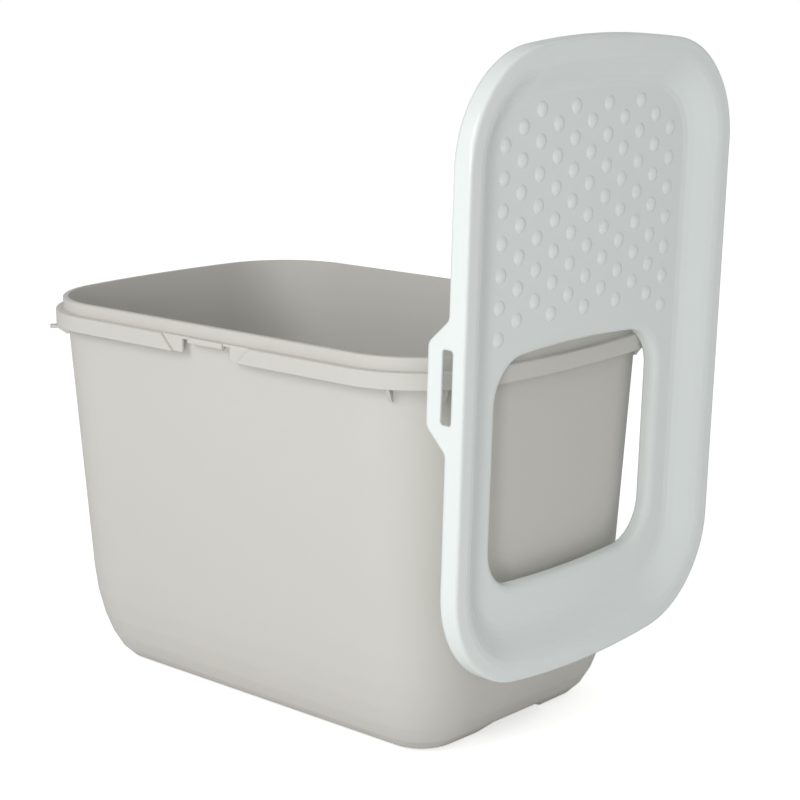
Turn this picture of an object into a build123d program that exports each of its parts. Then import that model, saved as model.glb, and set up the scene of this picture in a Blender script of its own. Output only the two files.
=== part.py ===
"""Top entry litter box: a deep open tub, with its lid hung on one end for cleaning.

Millimetres. X runs along the tub towards the end that carries the lid, Y runs across it and Z is up.
The origin is on the floor, under the middle of the tub and the hung lid taken together. There are two
injection mouldings, the tub and the lid. Each is drawn about its own middle and then put in place.
"""
import os
from math import asin, atan2, cos, degrees, hypot, pi, radians, sin, sqrt

from build123d import *

os.makedirs("parts", exist_ok=True)

# Rim of the tub, which is also the outline of the lid
RIM_LENGTH = 585.0
RIM_WIDTH = 388.0
RIM_HEIGHT = 394.0
RIM_CORNER = 102.0
RIM_END_RADIUS = 900.0      # the two ends bow outwards in plan

# Tub walls and floor
FLOOR_LENGTH = 504.0        # outline of the walls carried down to the floor
FLOOR_WIDTH = 312.0
FLOOR_CORNER = 66.7
FLOOR_END_RADIUS = 4000.0
TUB_WALL = 2.4

# The base is rounded like a quarter of an ellipse, taller than it is wide
BASE_ROUND_HEIGHT = 103.0
BASE_ROUND_WIDTH = 42.0
BASE_STEPS = 6              # strips of the rounding and of the wall above it
WALL_STEPS = 5

# Recess under each end, between the two corners it stands on
RECESS_HEIGHT = 12.5
RECESS_TOP_WIDTH = 70.0
RECESS_BOTTOM_WIDTH = 108.0
RECESS_DEPTH = 20.0         # inwards from the edge of the flat base

# Folded rim: an upright lip, a ledge for the lid's skirt and a turned-down band
RIM_OVERHANG = 10.4         # band outside the wall, at the top of the rim
LIP_HEIGHT = 12.2
LEDGE_WIDTH = 7.5
BAND_HEIGHT = 15.8
RIM_WALL = 2.5
LIP_BEVEL = 0.9
BAND_BEVEL = 0.8

# Catch for the lid in the middle of each long side: a pocket in the band for the lid's ear, with a
# tongue in it that snaps into the ear's slot
TONGUE_LENGTH = 48.0
TONGUE_HEIGHT = 6.0
TONGUE_THICKNESS = 3.5
TONGUE_SETBACK = 1.5        # behind the band
TONGUE_ROUND = 1.5
POCKET_SIDE_CLEARANCE = 2.0
POCKET_FLOOR_CLEARANCE = 0.5

# Ribs that stiffen the rim at the two corners of the end that carries the lid
RIB_ANGLES = (35.2, 65.5)   # from the tub's length, about the middle of the corner's arc
RIB_THICKNESS = 3.0
RIB_DROP = 13.0             # below the band

# Hooks under the rim at the other two corners
HOOK_ANGLE = 48.3           # from the tub's length
HOOK_WIDTH = 9.0
HOOK_DROP = 3.0             # below the band
HOOK_THICKNESS = 3.2
HOOK_REACH = 6.5            # beyond the band
HOOK_RIB_DROP = 6.0

# Lid: a flat border with a skirt round it and a deep dish inside it
LID_WALL = 2.5
SKIRT_DEPTH = 18.2
BORDER_WIDTH = 14.0
BORDER_ROUND = 3.5
DISH_DEPTH = 22.0
DISH_SLOPE_WIDTH = 35.0
DISH_STEPS = 6              # strips down its slope
ROLL_STEPS = 3              # strips across a rounded edge

# Entry hole with its rolled edge
HOLE_LENGTH = 221.0
HOLE_WIDTH = 242.0
HOLE_CORNER = 42.0
HOLE_END_RADIUS = 1200.0
HOLE_EDGE = 13.5            # the hole's inner edge, past the middle of the lid
HOLE_ROLL = 7.0
COLLAR_DEPTH = 36.0         # below the border

# Hook on the hole's inner edge, which hangs the lid on the rim
HANG_WIDTH = 80.0
HANG_THICKNESS = 2.5
HANG_DROP = 3.6
HANG_PLAY = 1.3             # between the hook and the inside of the lip
REST_GAP = 0.3

# Domes that brush litter off the paws, on a triangular lattice
DOME_SPACING = 28.3
DOME_RADIUS = 7.0
DOME_HEIGHT = 3.0
DOME_COLUMNS = 11
DOMES_PER_COLUMN = 7
FIRST_DOME = 229.0          # from the middle of the lid
DOME_SIDES = 8              # flat facets round each dome
DOME_RINGS = 2

# Ears that clip over the catches when the lid is shut
EAR_ROOT_WIDTH = 118.0
EAR_TIP_WIDTH = 74.0
EAR_LENGTH = 22.3           # below the skirt
EAR_TIP_ROUND = 9.0
EAR_ROOT_ROUND = 9.0
SLOT_START = 12.8           # below the border
SLOT_END_PLAY = 9.0         # past each end of the tongue
SLOT_EDGE_PLAY = 0.5        # past the tongue's lower edge
SLOT_CORNER = 3.0

# The lid as it hangs
LID_TILT = 2.0
LID_REACH = 323.0           # from the middle of the tub to the middle of the border's face

PICK_TOLERANCE = 0.01       # for finding edges by where they lie

LEDGE_Z = RIM_HEIGHT - LIP_HEIGHT
BAND_BOTTOM = LEDGE_Z - BAND_HEIGHT
EAR_TIP = SKIRT_DEPTH + EAR_LENGTH
SLOT_LENGTH = TONGUE_LENGTH + 2 * SLOT_END_PLAY
SLOT_END = SKIRT_DEPTH + TONGUE_HEIGHT + SLOT_EDGE_PLAY


def end_bow(width, end_radius):
    """How far a bowed end falls back over a width across it."""
    return end_radius - sqrt(end_radius**2 - (width / 2) ** 2)


def bowed_outline(length, width, corner, end_radius):
    """A rounded rectangle whose two ends are shallow arcs."""
    x_side = length / 2 - end_bow(width, end_radius)
    y_side = width / 2
    edges = [
        Line((-x_side, -y_side), (x_side, -y_side)),
        ThreePointArc((x_side, -y_side), (length / 2, 0), (x_side, y_side)),
        Line((x_side, y_side), (-x_side, y_side)),
        ThreePointArc((-x_side, y_side), (-length / 2, 0), (-x_side, -y_side)),
    ]
    face = make_face(edges)
    return fillet(face.vertices(), corner)


def rim_outline(inset):
    """The rim's outline, moved inwards by an inset."""
    return bowed_outline(
        RIM_LENGTH - 2 * inset, RIM_WIDTH - 2 * inset, RIM_CORNER - inset, RIM_END_RADIUS - inset
    )


def wall_outline(height, inset):
    """The tapering wall's outline at a height, moved inwards by an inset."""
    share = height / RIM_HEIGHT

    def between(low, high):
        return low + share * (high - low) - inset

    length = 2 * between(FLOOR_LENGTH / 2, RIM_LENGTH / 2 - RIM_OVERHANG)
    width = 2 * between(FLOOR_WIDTH / 2, RIM_WIDTH / 2 - RIM_OVERHANG)
    corner = between(FLOOR_CORNER, RIM_CORNER - RIM_OVERHANG)
    end_bow_floor = 1 / FLOOR_END_RADIUS
    end_bow_rim = 1 / (RIM_END_RADIUS - RIM_OVERHANG)
    end_radius = 1 / (end_bow_floor + share * (end_bow_rim - end_bow_floor)) - inset
    return bowed_outline(length, width, corner, end_radius)


def prism(outline, bottom, top):
    """An outline carried straight up between two heights."""
    return extrude(Pos(0, 0, bottom) * outline, top - bottom)


def edges_at(solid, height):
    """The edges that lie flat at one height."""
    return solid.edges().filter_by_position(Axis.Z, height - PICK_TOLERANCE, height + PICK_TOLERANCE)


def inner_edges(solid, height):
    """The edges round the middle of the flat face at a height."""
    faces = solid.faces().filter_by_position(Axis.Z, height - PICK_TOLERANCE, height + PICK_TOLERANCE)
    return faces[0].inner_wires().edges()


def corner_centre():
    """Centre of a rim corner's arc."""
    across = RIM_WIDTH / 2 - RIM_CORNER
    reach = RIM_END_RADIUS - RIM_CORNER
    along = RIM_LENGTH / 2 - RIM_END_RADIUS + sqrt(reach**2 - across**2)
    return along, across


def ear_pocket(wall):
    """The pocket in the band for an ear, on the side at +Y, grown by a wall."""
    half_top = EAR_ROOT_WIDTH / 2 + POCKET_SIDE_CLEARANCE + wall
    ear_slope = (EAR_ROOT_WIDTH - EAR_TIP_WIDTH) / 2 / EAR_LENGTH
    half_bottom = half_top - ear_slope * BAND_HEIGHT
    profile = Polyline(
        (-half_top, LEDGE_Z),
        (half_top, LEDGE_Z),
        (half_bottom, BAND_BOTTOM),
        (-half_bottom, BAND_BOTTOM),
        close=True,
    )
    back = RIM_WIDTH / 2 - LID_WALL - POCKET_FLOOR_CLEARANCE - wall
    return Pos(0, back, 0) * extrude(Plane.XZ * make_face(profile), -RIM_WIDTH)


def tongue():
    """The tongue that hangs from the ledge in the middle of a pocket, on the side at +Y."""
    middle = RIM_WIDTH / 2 - TONGUE_SETBACK - TONGUE_THICKNESS / 2
    block = Pos(0, middle, LEDGE_Z - TONGUE_HEIGHT / 2) * Box(TONGUE_LENGTH, TONGUE_THICKNESS, TONGUE_HEIGHT)
    return fillet(block.edges().filter_by(Axis.X).group_by(Axis.Z)[0], TONGUE_ROUND)


def under_rim(bottom, drop, thickness):
    """A rib from the wall to the band at a corner, pointing along +X from the corner's centre."""
    inside = RIM_CORNER / 2
    wall = RIM_CORNER - RIM_OVERHANG
    band = RIM_CORNER - RIM_WALL / 2
    top = LEDGE_Z - RIM_WALL / 2
    profile = Polyline(
        (inside, top),
        (band, top),
        (band, bottom),
        (wall, bottom - drop),
        (inside, bottom - drop),
        close=True,
    )
    return extrude(Plane.XZ * make_face(profile), thickness / 2, both=True)


def corner_ribs():
    """The two ribs under the rim at the corner in the +X +Y quarter."""
    along, across = corner_centre()
    rib = under_rim(BAND_BOTTOM, RIB_DROP, RIB_THICKNESS)
    return [Pos(along, across, 0) * Rot(0, 0, angle) * rib for angle in RIB_ANGLES]


def corner_hook():
    """The hook under the rim at the corner in the -X +Y quarter: a flat tab on a small rib."""
    along, across = corner_centre()
    tab_bottom = BAND_BOTTOM - HOOK_DROP - HOOK_THICKNESS
    rib = under_rim(tab_bottom, HOOK_RIB_DROP, HOOK_WIDTH)
    inside = RIM_CORNER / 2
    length = RIM_CORNER + HOOK_REACH - inside
    tab = Box(length, HOOK_WIDTH, HOOK_THICKNESS)
    hook = rib + Pos(inside + length / 2, 0, tab_bottom + HOOK_THICKNESS / 2) * tab
    return Pos(-along, across, 0) * Rot(0, 0, 180 - HOOK_ANGLE) * hook


def both_sides(solid):
    """A solid and its mirror image on the other long side."""
    return [solid, mirror(solid, Plane.XZ)]


def make_rim():
    """The folded rim: lip, ledge and band, hollow underneath, with a catch on each long side."""
    lip = prism(rim_outline(LEDGE_WIDTH), BAND_BOTTOM, RIM_HEIGHT)
    lip = chamfer(edges_at(lip, RIM_HEIGHT), LIP_BEVEL)
    band = prism(rim_outline(0), BAND_BOTTOM, LEDGE_Z)
    band = chamfer(edges_at(band, LEDGE_Z), BAND_BEVEL)
    channel = prism(rim_outline(RIM_WALL), BAND_BOTTOM, LEDGE_Z - RIM_WALL)
    rim = band + lip - channel

    rim = rim + both_sides(band & ear_pocket(RIM_WALL))
    rim = rim - both_sides(ear_pocket(0))
    mouth_height = BAND_HEIGHT - RIM_WALL
    mouth = Pos(0, 0, BAND_BOTTOM + mouth_height / 2) * Box(SLOT_LENGTH, RIM_WIDTH, mouth_height)
    return rim - mouth + both_sides(tongue())


def shell_form(depth):
    """The tub as a solid form, its surface moved inwards by a depth: rounded base, then the wall."""
    sections = []
    for step in range(BASE_STEPS + 1):
        angle = pi / 2 * step / BASE_STEPS
        along = BASE_ROUND_HEIGHT * sin(angle)
        up = BASE_ROUND_WIDTH * cos(angle)
        inset = BASE_ROUND_WIDTH * (1 - sin(angle)) + depth * along / hypot(along, up)
        height = BASE_ROUND_HEIGHT * (1 - cos(angle)) + depth * up / hypot(along, up)
        sections.append(Pos(0, 0, height) * wall_outline(height, inset))
    for step in range(1, WALL_STEPS + 1):
        height = BASE_ROUND_HEIGHT + (RIM_HEIGHT - BASE_ROUND_HEIGHT) * step / WALL_STEPS
        sections.append(Pos(0, 0, height) * wall_outline(height, depth))
    return loft(sections, ruled=True)


def end_recess(wall):
    """The recess under the end at +X, grown by a wall."""
    profile = Polyline(
        (-RECESS_BOTTOM_WIDTH / 2, 0),
        (-RECESS_TOP_WIDTH / 2, RECESS_HEIGHT),
        (RECESS_TOP_WIDTH / 2, RECESS_HEIGHT),
        (RECESS_BOTTOM_WIDTH / 2, 0),
        close=True,
    )
    face = make_face(profile)
    if wall:
        face = offset(face, wall, kind=Kind.INTERSECTION)
    start = FLOOR_LENGTH / 2 - BASE_ROUND_WIDTH - RECESS_DEPTH - wall
    return Pos(start, 0, 0) * extrude(Plane.YZ * face, RIM_LENGTH / 2 - start)


def both_ends(solid):
    """A solid and its mirror image at the other end."""
    return [solid, mirror(solid, Plane.YZ)]


def make_tub():
    """The tub: rounded base with a recess under each end, tapering walls and the folded rim."""
    outside = shell_form(0)
    tub = outside + make_rim()
    for piece in corner_ribs() + [corner_hook()]:
        tub = tub + both_sides(piece)
    tub = tub - shell_form(TUB_WALL)
    tub = tub + both_ends(outside & end_recess(TUB_WALL))
    return tub - both_ends(end_recess(0))


def dish(thickness):
    """The dish as a solid, its slope an S-shaped curve, moved outwards by a thickness."""
    sections = []
    for step in range(DISH_STEPS + 1):
        share = step / DISH_STEPS
        inset = BORDER_WIDTH + DISH_SLOPE_WIDTH * share
        depth = DISH_DEPTH * (1 - cos(pi * share)) / 2
        slope = atan2(DISH_DEPTH * pi * sin(pi * share) / 2, DISH_SLOPE_WIDTH)
        outline = rim_outline(inset - thickness * sin(slope))
        sections.append(Pos(0, 0, -depth - thickness * cos(slope)) * outline)
    return loft(sections, ruled=True)


def hole_outline(outset):
    """The entry hole's outline, moved outwards by an outset."""
    outline = bowed_outline(
        HOLE_LENGTH + 2 * outset,
        HOLE_WIDTH + 2 * outset,
        HOLE_CORNER + outset,
        HOLE_END_RADIUS + outset,
    )
    return Pos(HOLE_EDGE - HOLE_LENGTH / 2, 0, 0) * outline


def hole_flare(thickness):
    """The entry hole as a solid, its edge flared like a quarter turn, moved outwards by a thickness."""
    radius = HOLE_ROLL - thickness
    sections = []
    for step in range(ROLL_STEPS + 1):
        angle = pi / 2 * step / ROLL_STEPS
        outline = hole_outline(HOLE_ROLL - radius * sin(angle))
        sections.append(Pos(0, 0, -DISH_DEPTH - HOLE_ROLL + radius * cos(angle)) * outline)
    sections.append(Pos(0, 0, -COLLAR_DEPTH) * hole_outline(thickness))
    return loft(sections, ruled=True)


def hole_ring():
    """The part of the dish floor round the hole, rolled over into the collar below it."""
    flat = prism(hole_outline(2 * HOLE_ROLL), -DISH_DEPTH - LID_WALL, -DISH_DEPTH)
    return flat + hole_flare(LID_WALL) - hole_flare(0)


def dome_places():
    """Middles of the domes: neighbouring columns are half a space apart along the lid."""
    column_pitch = DOME_SPACING * sqrt(3) / 2
    places = []
    for column in range(DOME_COLUMNS):
        outer = column in (0, DOME_COLUMNS - 1)
        first = 2 if outer else column % 2
        for row in range(DOMES_PER_COLUMN):
            along = FIRST_DOME - (first + 2 * row) * DOME_SPACING / 2
            places.append((along, (column - (DOME_COLUMNS - 1) / 2) * column_pitch))
    return places


def dome():
    """One dome: flat-sided rings of less and less slope on a root sunk into the dish floor."""
    sphere = (DOME_RADIUS**2 + DOME_HEIGHT**2) / (2 * DOME_HEIGHT)
    edge_angle = asin(DOME_RADIUS / sphere)
    solid = extrude(Pos(0, 0, -LID_WALL / 2) * RegularPolygon(DOME_RADIUS, DOME_SIDES), LID_WALL / 2)
    for ring in range(DOME_RINGS):
        low = edge_angle * (1 - ring / (DOME_RINGS + 1))
        high = edge_angle * (1 - (ring + 1) / (DOME_RINGS + 1))
        height = sphere * (cos(low) - cos(edge_angle))
        base = Pos(0, 0, height) * RegularPolygon(sphere * sin(low), DOME_SIDES)
        rise = sphere * (cos(high) - cos(low))
        shrink = sphere * (sin(low) - sin(high)) * cos(pi / DOME_SIDES)
        solid = solid + extrude(base, rise, taper=degrees(atan2(shrink, rise)))
    return solid


def ear():
    """The ear below the skirt, on the side at +Y, flush with the skirt."""
    root = EAR_ROOT_WIDTH / 2
    shoulder = root + EAR_ROOT_ROUND
    points = [
        (-shoulder, -SLOT_START),
        (-shoulder, -SKIRT_DEPTH),
        (-root, -SKIRT_DEPTH),
        (-EAR_TIP_WIDTH / 2, -EAR_TIP),
        (EAR_TIP_WIDTH / 2, -EAR_TIP),
        (root, -SKIRT_DEPTH),
        (shoulder, -SKIRT_DEPTH),
        (shoulder, -SLOT_START),
    ]
    plate = make_face(Polyline(*points, close=True))
    tip_corners = plate.vertices().group_by(Axis.Y)[0]
    plate = fillet(tip_corners, EAR_TIP_ROUND)
    root_corners = [v for v in plate.vertices() if abs(abs(v.X) - root) < PICK_TOLERANCE]
    plate = fillet(root_corners, EAR_ROOT_ROUND)
    skirt_plane = Plane((0, (RIM_WIDTH - LID_WALL) / 2, 0), x_dir=(1, 0, 0), z_dir=(0, -1, 0))
    return extrude(skirt_plane * plate, LID_WALL / 2, both=True)


def ear_slot():
    """The slot through an ear and the skirt above it, on the side at +Y."""
    middle = -(SLOT_START + SLOT_END) / 2
    slot = RectangleRounded(SLOT_LENGTH, SLOT_END - SLOT_START, SLOT_CORNER)
    skirt_plane = Plane((0, (RIM_WIDTH - LID_WALL) / 2, middle), x_dir=(1, 0, 0), z_dir=(0, -1, 0))
    return extrude(skirt_plane * slot, LID_WALL, both=True)


def make_lid():
    """The lid lying flat, with the face of its border at Z = 0 and the hole towards -X."""
    rounding = []
    for step in range(ROLL_STEPS + 1):
        angle = pi / 2 * step / ROLL_STEPS
        outline = rim_outline(BORDER_ROUND * (1 - sin(angle)))
        rounding.append(Pos(0, 0, -BORDER_ROUND * (1 - cos(angle))) * outline)
    cap = loft(rounding + [Pos(0, 0, -SKIRT_DEPTH) * rim_outline(0)], ruled=True)
    cap = cap - prism(rim_outline(LID_WALL), -SKIRT_DEPTH, -LID_WALL)
    bowl = dish(0)
    lid = (cap - bowl) + (dish(LID_WALL) - bowl)
    lid = lid - prism(hole_outline(2 * HOLE_ROLL), -COLLAR_DEPTH, 0)
    lid = lid + hole_ring()

    pimple = dome()
    lid = lid + [Pos(x, y, -DISH_DEPTH) * pimple for x, y in dome_places()]
    lid = lid + both_sides(ear()) - both_sides(ear_slot())
    return lid + hang_hook()


def hang_hook():
    """The tongue on the hole's inner edge that lies on the tub's lip and drops behind it."""
    inner_radius = RIM_END_RADIUS - RIM_OVERHANG - TUB_WALL
    lip_inside = RIM_LENGTH / 2 - RIM_OVERHANG - TUB_WALL - end_bow(HANG_WIDTH, inner_radius)
    start = -DISH_DEPTH - HOLE_ROLL
    heel = -depth_at(lip_inside) - HANG_PLAY
    end = heel - HANG_THICKNESS
    profile = Polyline(
        (HOLE_EDGE, start),
        (HOLE_EDGE + HANG_THICKNESS, start),
        (HOLE_EDGE + HANG_THICKNESS, end),
        (HOLE_EDGE - HANG_DROP, end),
        (HOLE_EDGE - HANG_DROP, heel),
        (HOLE_EDGE, heel),
        close=True,
    )
    return extrude(Plane.XZ * make_face(profile), HANG_WIDTH / 2, both=True)


def depth_at(reach):
    """Depth below the border of a place level with the hole's edge, that far from the tub's middle."""
    return (LID_REACH + HOLE_EDGE * sin(radians(LID_TILT)) - reach) / cos(radians(LID_TILT))


def hung_plane():
    """The plane of the lid's face as it hangs with the hook on the tub's lip."""
    tilt = radians(LID_TILT)
    lip_outside = depth_at(RIM_LENGTH / 2 - LEDGE_WIDTH)
    height = RIM_HEIGHT + REST_GAP - HOLE_EDGE * cos(tilt) - lip_outside * sin(tilt)
    return Plane((LID_REACH, 0, height), x_dir=(sin(tilt), 0, cos(tilt)), z_dir=(cos(tilt), 0, -sin(tilt)))


tub = make_tub()
lid = hung_plane().location * make_lid()
middle = Compound([tub, lid]).bounding_box().center().X
for name, solid in (("tub", tub), ("lid", lid)):
    placed = Pos(-middle, 0, 0) * solid
    box = placed.bounding_box()
    print(f"{name}: {len(placed.solids())} solid, {placed.volume / 1000:.0f} cm3, {box.min} to {box.max}")
    export_step(placed, f"parts/{name}.step")
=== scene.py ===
# %% [markdown]
# # A top entry litter box, dressed and lit
#
# The object is two injection mouldings in polypropylene: a deep tapering tub, and a dished lid that
# hangs on one end of the tub. The engineering model gives both their shapes. This lesson gives them
# their finish, smooths the lid's domes, and sets up the camera, the floor, the sky and the lamps.

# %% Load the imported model
from math import asin, cos, pi, radians, sin

import bmesh
import bpy
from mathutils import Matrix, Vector


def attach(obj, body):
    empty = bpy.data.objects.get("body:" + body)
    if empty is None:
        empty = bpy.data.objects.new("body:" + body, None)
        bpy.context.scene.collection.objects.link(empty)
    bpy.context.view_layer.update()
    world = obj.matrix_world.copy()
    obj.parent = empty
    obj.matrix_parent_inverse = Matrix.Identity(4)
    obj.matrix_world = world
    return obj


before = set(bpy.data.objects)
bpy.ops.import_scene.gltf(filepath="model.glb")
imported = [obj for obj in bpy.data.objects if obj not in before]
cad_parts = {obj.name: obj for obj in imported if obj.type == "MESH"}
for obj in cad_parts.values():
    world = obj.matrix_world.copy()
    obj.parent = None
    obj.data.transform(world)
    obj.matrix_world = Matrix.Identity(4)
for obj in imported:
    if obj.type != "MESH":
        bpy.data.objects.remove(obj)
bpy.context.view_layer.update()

# %% [markdown]
# ## Camera
#
# A long lens from above the rim, looking across the corner nearest to the hanging lid. A wide lens
# closer by would show the same corner, but a long lens keeps the tub's tapering walls from looking
# more tapered than they are.

# %% Place the camera
CAMERA_PLACE = (1.3786, -1.4681, 0.7460)
CAMERA_TURN = (77.38, 0, 42.014)        # degrees about x, y and z
SENSOR_WIDTH = 36.0                     # millimetres
LENS = 91.03                            # millimetres

bpy.ops.object.camera_add(location=CAMERA_PLACE, rotation=[radians(turn) for turn in CAMERA_TURN])
camera = bpy.context.object
camera.name = "camera"
camera.data.sensor_width = SENSOR_WIDTH
camera.data.lens = LENS
bpy.context.scene.camera = camera
print("camera lens:", round(camera.data.lens, 1), "mm")

# %% [markdown]
# ## Helpers for colours, nodes and materials
#
# Colours are written as sRGB hex values, as a paint chart gives them, and turned to the linear values
# that the renderer works in. One small function adds a node, sets it up and links it, and another
# starts an empty material. Setting every node by hand would be just as good, but longer.

# %% Colour, node and material helpers
def colour(hex_value):
    """An sRGB hex value as a linear colour with full alpha, by the formula of the sRGB standard."""
    channels = [int(hex_value[i : i + 2], 16) / 255 for i in (0, 2, 4)]
    linear = [c / 12.92 if c <= 0.04045 else ((c + 0.055) / 1.055) ** 2.4 for c in channels]
    return (*linear, 1.0)


def add_node(tree, kind, links=(), **settings):
    """Add a node. Names that are sockets set the socket; other names set the node itself."""
    node = tree.nodes.new(kind)
    for name, value in settings.items():
        label = name.replace("_", " ")
        if label in node.inputs:
            node.inputs[label].default_value = value
        else:
            setattr(node, name, value)
    for source, target in links:
        tree.links.new(source, node.inputs[target])
    return node


def new_material(name):
    """An empty node material and its tree."""
    material = bpy.data.materials.new(name)
    material.use_nodes = True
    material.node_tree.nodes.clear()
    return material, material.node_tree


print("white:", colour("FFFFFF"))

# %% [markdown]
# ## Moulded polypropylene
#
# Both pieces are polypropylene, moulded against a steel tool. The tub's tool is lightly spark-eroded,
# which leaves a fine matt grain. The lid's is polished, so it has a soft sheen, and its plastic is
# paler. The real grain is too fine to show, so it is drawn a millimetre or two wide.
#
# The model draws its roundings as narrow strips. A bevel node blends the shading from one strip to
# the next. Smoothing the mesh would do that too, but the model's mesh is never changed. The blending
# has to reach further on the tub's tall rounded base than on its thin folded rim.

# %% Moulded plastic
MM_PER_METRE = 1000
POLYPROPYLENE_IOR = 1.49
BASE_TOP = 0.103                # metres, where the tub's rounded base meets its wall
BLEND_FADED = 1.5 * BASE_TOP    # where the base's blending has faded to that of the parts above
BLEND_SAMPLES = 6
GRAIN_DETAIL = 2.0
GRAIN_ROUGHNESS = 0.6


def moulded_plastic(name, hex_value, roughness, grain_mm, grain_depth_mm, blend_mm):
    """Moulded plastic with a tool grain, whose shading runs on over the strips of a rounding."""
    base_blend, upper_blend = [blend / MM_PER_METRE for blend in blend_mm]
    material, tree = new_material(name)
    place = add_node(tree, "ShaderNodeTexCoord")
    height = add_node(tree, "ShaderNodeSeparateXYZ", [(place.outputs["Object"], "Vector")])
    reach = add_node(
        tree, "ShaderNodeMapRange", [(height.outputs["Z"], "Value")],
        From_Min=BASE_TOP, From_Max=BLEND_FADED, To_Min=base_blend, To_Max=upper_blend,
    )
    blended = add_node(
        tree, "ShaderNodeBevel", [(reach.outputs["Result"], "Radius")], samples=BLEND_SAMPLES
    )
    grain = add_node(
        tree, "ShaderNodeTexNoise", [(place.outputs["Object"], "Vector")],
        Scale=MM_PER_METRE / grain_mm, Detail=GRAIN_DETAIL, Roughness=GRAIN_ROUGHNESS,
    )
    bump = add_node(
        tree, "ShaderNodeBump",
        [(grain.outputs["Fac"], "Height"), (blended.outputs["Normal"], "Normal")],
        Distance=grain_depth_mm / MM_PER_METRE, Strength=1.0,
    )
    shader = add_node(
        tree, "ShaderNodeBsdfPrincipled", [(bump.outputs["Normal"], "Normal")],
        Base_Color=colour(hex_value), Roughness=roughness, IOR=POLYPROPYLENE_IOR,
    )
    add_node(tree, "ShaderNodeOutputMaterial", [(shader.outputs["BSDF"], "Surface")])
    print(name, "with a grain of", grain_mm, "mm")
    return material


# %% [markdown]
# ## The two finishes
#
# Warm grey for the tub, rough enough for only broad, faint highlights. Pale grey for the lid, smooth
# enough for a soft sheen. The domes have the lid's finish, but far less blending, because more would
# flatten them.

# %% Dress the tub and the lid
TUB_BLEND = (9.0, 1.0)          # millimetres that the blending reaches, low down and above
LID_BLEND = (3.0, 3.0)
DOME_BLEND = (0.3, 0.3)
LID_FINISH = {"hex_value": "E8EEEC", "roughness": 0.22, "grain_mm": 2.0, "grain_depth_mm": 0.01}

tub_plastic = moulded_plastic(
    "matt moulded polypropylene, warm grey",
    hex_value="CFCDC7", roughness=0.5, grain_mm=1.2, grain_depth_mm=0.03, blend_mm=TUB_BLEND,
)
lid_plastic = moulded_plastic(
    "smooth moulded polypropylene, pale grey", blend_mm=LID_BLEND, **LID_FINISH
)
dome_plastic = moulded_plastic(
    "smooth moulded polypropylene, pale grey, domes", blend_mm=DOME_BLEND, **LID_FINISH
)
for node, plastic in (("tub", tub_plastic), ("lid", lid_plastic)):
    bpy.data.objects[node].data.materials.clear()
    bpy.data.objects[node].data.materials.append(plastic)
    print(node, "is", plastic.name)

# %% [markdown]
# ## Smooth domes on the lid
#
# The lid has low round domes, 14 mm across and 3 mm high, on a triangular lattice. The model draws
# each with a few flat facets. Here every dome gets a smooth skin that fits closely over those facets.
# A smoother copy of the whole lid could stand in for it instead, but the rest of the lid is right.
#
# The lid hangs 2 degrees off upright, so the lattice is laid out on the lid's own plane. That plane
# goes through the lid's outermost points, and its middle lies halfway between the lid's two ends.

# %% The lid's own plane
LID_TILT = radians(2.0)

outward = Vector((cos(LID_TILT), 0, -sin(LID_TILT)))
upward = Vector((sin(LID_TILT), 0, cos(LID_TILT)))
lid = bpy.data.objects["lid"]
corners = [lid.matrix_world @ vertex.co for vertex in lid.data.vertices]
heights = [corner.dot(upward) for corner in corners]
face_depth = max(corner.dot(outward) for corner in corners)
face_middle = outward * face_depth + upward * (min(heights) + max(heights)) / 2
print("middle of the lid's face:", [round(v, 4) for v in face_middle])

# %% Where the domes stand
DOME_SPACING = 0.0283       # metres, between the middles of neighbouring domes
COLUMN_SPACING = DOME_SPACING * cos(radians(30))
DOME_COLUMNS = 11
DOMES_PER_COLUMN = 7
FIRST_DOME = 0.229          # metres, from the middle of the lid up to the topmost domes
OUTER_START = 2             # half spaces that the two outer columns start further down


def dome_places():
    """Middles of the domes: neighbouring columns are half a space apart along the lid."""
    for column in range(DOME_COLUMNS):
        outer = column in (0, DOME_COLUMNS - 1)
        first = OUTER_START if outer else column % 2
        across = (column - (DOME_COLUMNS - 1) / 2) * COLUMN_SPACING
        for row in range(DOMES_PER_COLUMN):
            yield FIRST_DOME - (first + 2 * row) * DOME_SPACING / 2, across


print("domes:", len(list(dome_places())))

# %% [markdown]
# ## One dome's skin
#
# A dome is a cap cut from a sphere. Its rings of faces are placed by their angle from the cap's top,
# so that they are equally wide on the curve. The cap's radius and height are 0.1 mm more than those
# of the model's dome, so that no facet comes through the skin.

# %% A cap on the dish floor
DISH_DEPTH = 0.022          # metres, from the lid's outermost points to the dish floor
DOME_RADIUS = 0.0071        # metres
DOME_HEIGHT = 0.0031        # metres
CAP_RINGS = 6
CAP_SIDES = 28


def add_cap(mesh, along, across):
    """Add one spherical cap to a mesh, at a place on the dish floor."""
    sphere = (DOME_RADIUS**2 + DOME_HEIGHT**2) / (2 * DOME_HEIGHT)
    edge = asin(DOME_RADIUS / sphere)
    foot = face_middle + upward * along + Vector((0, across, 0)) - outward * DISH_DEPTH
    top = mesh.verts.new(foot + outward * DOME_HEIGHT)
    inner = None
    for ring in range(1, CAP_RINGS + 1):
        angle = edge * ring / CAP_RINGS
        level = foot + outward * sphere * (cos(angle) - cos(edge))
        verts = []
        for side in range(CAP_SIDES):
            turn = 2 * pi * side / CAP_SIDES
            spoke = upward * sin(turn) + Vector((0, cos(turn), 0))
            verts.append(mesh.verts.new(level + spoke * sphere * sin(angle)))
        for side in range(CAP_SIDES):
            after = (side + 1) % CAP_SIDES
            if inner is None:
                mesh.faces.new((top, verts[side], verts[after]))
            else:
                mesh.faces.new((inner[side], verts[side], verts[after], inner[after]))
        inner = verts


print("faces in a cap:", CAP_RINGS * CAP_SIDES)

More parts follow.
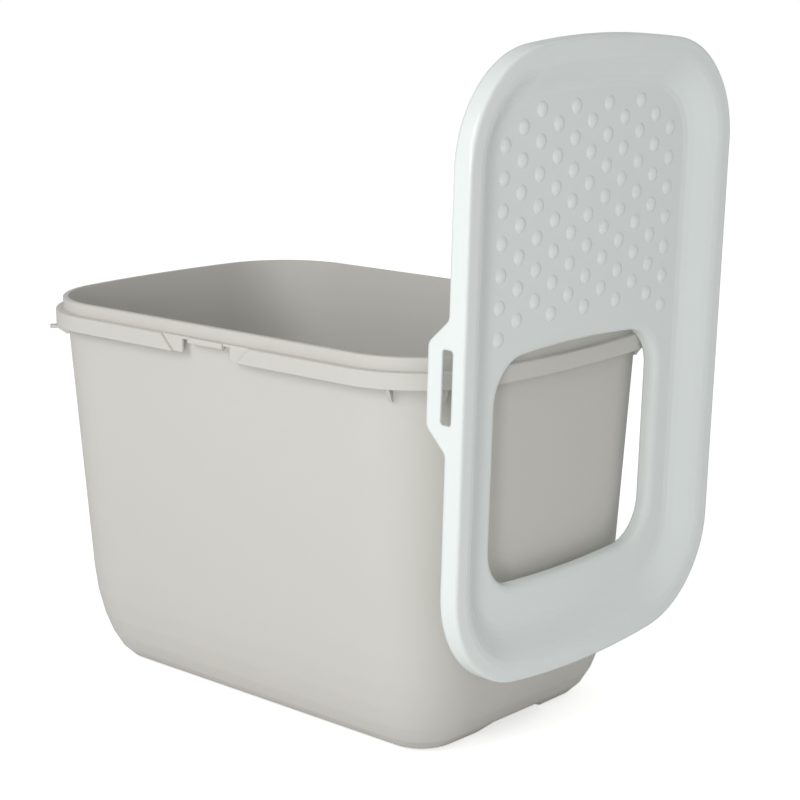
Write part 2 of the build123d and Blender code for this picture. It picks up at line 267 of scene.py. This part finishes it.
# %% All the skins, as one piece on the lid
mesh = bmesh.new()
for along, across in dome_places():
    add_cap(mesh, along, across)
bmesh.ops.recalc_face_normals(mesh, faces=mesh.faces)
for face in mesh.faces:
    face.smooth = True
data = bpy.data.meshes.new("dome_skins")
mesh.to_mesh(data)
mesh.free()
domes = bpy.data.objects.new("dome_skins", data)
bpy.context.collection.objects.link(domes)
domes.data.materials.append(dome_plastic)
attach(domes, "lid")
print("dome skins:", len(data.polygons), "faces")

# %% [markdown]
# ## Floor
#
# The floor is white paper. To the camera it also glows a little, so that it runs into the white
# surround and only the shadow close to the tub is left. More light would whiten the floor as well,
# but it would also bleach the pale plastic.

# %% White paper floor
PAPER_WHITE = "F4F4F4"
FLOOR_GLOW = 0.6            # of full white, and seen by the camera alone
FLOOR_RADIUS = 6.0          # metres
FLOOR_SIDES = 96

material, tree = new_material("white studio floor")
diffuse = add_node(tree, "ShaderNodeBsdfDiffuse", Color=colour(PAPER_WHITE))
path = add_node(tree, "ShaderNodeLightPath")
glow = add_node(
    tree, "ShaderNodeEmission", [(path.outputs["Is Camera Ray"], "Strength")],
    Color=(FLOOR_GLOW, FLOOR_GLOW, FLOOR_GLOW, 1),
)
both = add_node(
    tree, "ShaderNodeAddShader", [(diffuse.outputs["BSDF"], 0), (glow.outputs["Emission"], 1)]
)
add_node(tree, "ShaderNodeOutputMaterial", [(both.outputs["Shader"], "Surface")])
bpy.ops.mesh.primitive_circle_add(
    vertices=FLOOR_SIDES, radius=FLOOR_RADIUS, fill_type="NGON", location=(0, 0, 0)
)
floor = bpy.context.object
floor.name = "floor"
floor.data.materials.append(material)
print("floor:", 2 * FLOOR_RADIUS, "m across")

# %% [markdown]
# ## Sky
#
# A surround of one strength would light every side of the object alike. This one swings smoothly from
# dim to bright. It is brightest high up behind the object, on the side that the lid faces, and dimmest
# low down on the opposite side. To the camera it is plain white.

# %% Surround
SKY_LIGHT = 0.36                    # strength of the surround on average
SKY_SWING = 0.27                    # how much stronger and weaker it gets to either side
BRIGHT_SIDE = (0.4, 0.5, 0.77)      # direction of the strongest light
CAMERA_SKY = 1.0                    # strength that the camera sees

world = bpy.data.worlds.new("studio")
bpy.context.scene.world = world
world.use_nodes = True
tree = world.node_tree
tree.nodes.clear()
path = add_node(tree, "ShaderNodeLightPath")
direction = add_node(tree, "ShaderNodeTexCoord")
side = add_node(
    tree, "ShaderNodeVectorMath", [(direction.outputs["Generated"], 0)], operation="DOT_PRODUCT"
)
side.inputs[1].default_value = BRIGHT_SIDE
light = add_node(
    tree, "ShaderNodeMapRange", [(side.outputs["Value"], "Value")],
    From_Min=-1.0, From_Max=1.0, To_Min=SKY_LIGHT - SKY_SWING, To_Max=SKY_LIGHT + SKY_SWING,
)
strength = add_node(
    tree, "ShaderNodeMapRange",
    [(path.outputs["Is Camera Ray"], "Value"), (light.outputs["Result"], "To Min")],
    To_Max=CAMERA_SKY,
)
sky = add_node(
    tree, "ShaderNodeBackground", [(strength.outputs["Result"], "Strength")],
    Color=colour("FFFFFF"),
)
add_node(tree, "ShaderNodeOutputWorld", [(sky.outputs["Background"], "Surface")])
print("sky light:", SKY_LIGHT - SKY_SWING, "to", SKY_LIGHT + SKY_SWING)

# %% [markdown]
# ## Lamps
#
# The key lamp stands to the left and lights the long side and the lid's skirt. A smaller side lamp
# grazes the lid's face from the left and brings out its domes. One lamp could light both, but light
# that grazes a face shows its relief best.

# %% Key lamp and side lamp
def lamp(name, place, target, width, height, power):
    """A soft rectangular lamp at a place, facing a target. Sizes are in metres, power in watts."""
    facing = Vector(target) - Vector(place)
    turn = facing.to_track_quat("-Z", "Y").to_euler()
    bpy.ops.object.light_add(type="AREA", location=place, rotation=turn)
    light = bpy.context.object
    light.name = name
    light.data.shape = "RECTANGLE"
    light.data.size = width
    light.data.size_y = height
    light.data.energy = power
    print(name, "at", place)


lamp("key lamp", place=(-0.5, -2.8, 1.9), target=(0.1, 0, 0.3), width=1.6, height=1.6, power=38)
lamp("side lamp", place=(1.48, -2.32, 0.6), target=(0.3, 0, 0.45), width=0.4, height=0.6, power=17)

# %% [markdown]
# ## View
#
# The Standard view keeps a colour as it is written, where the others would tone it.

# %% View transform
bpy.context.scene.view_settings.view_transform = "Standard"
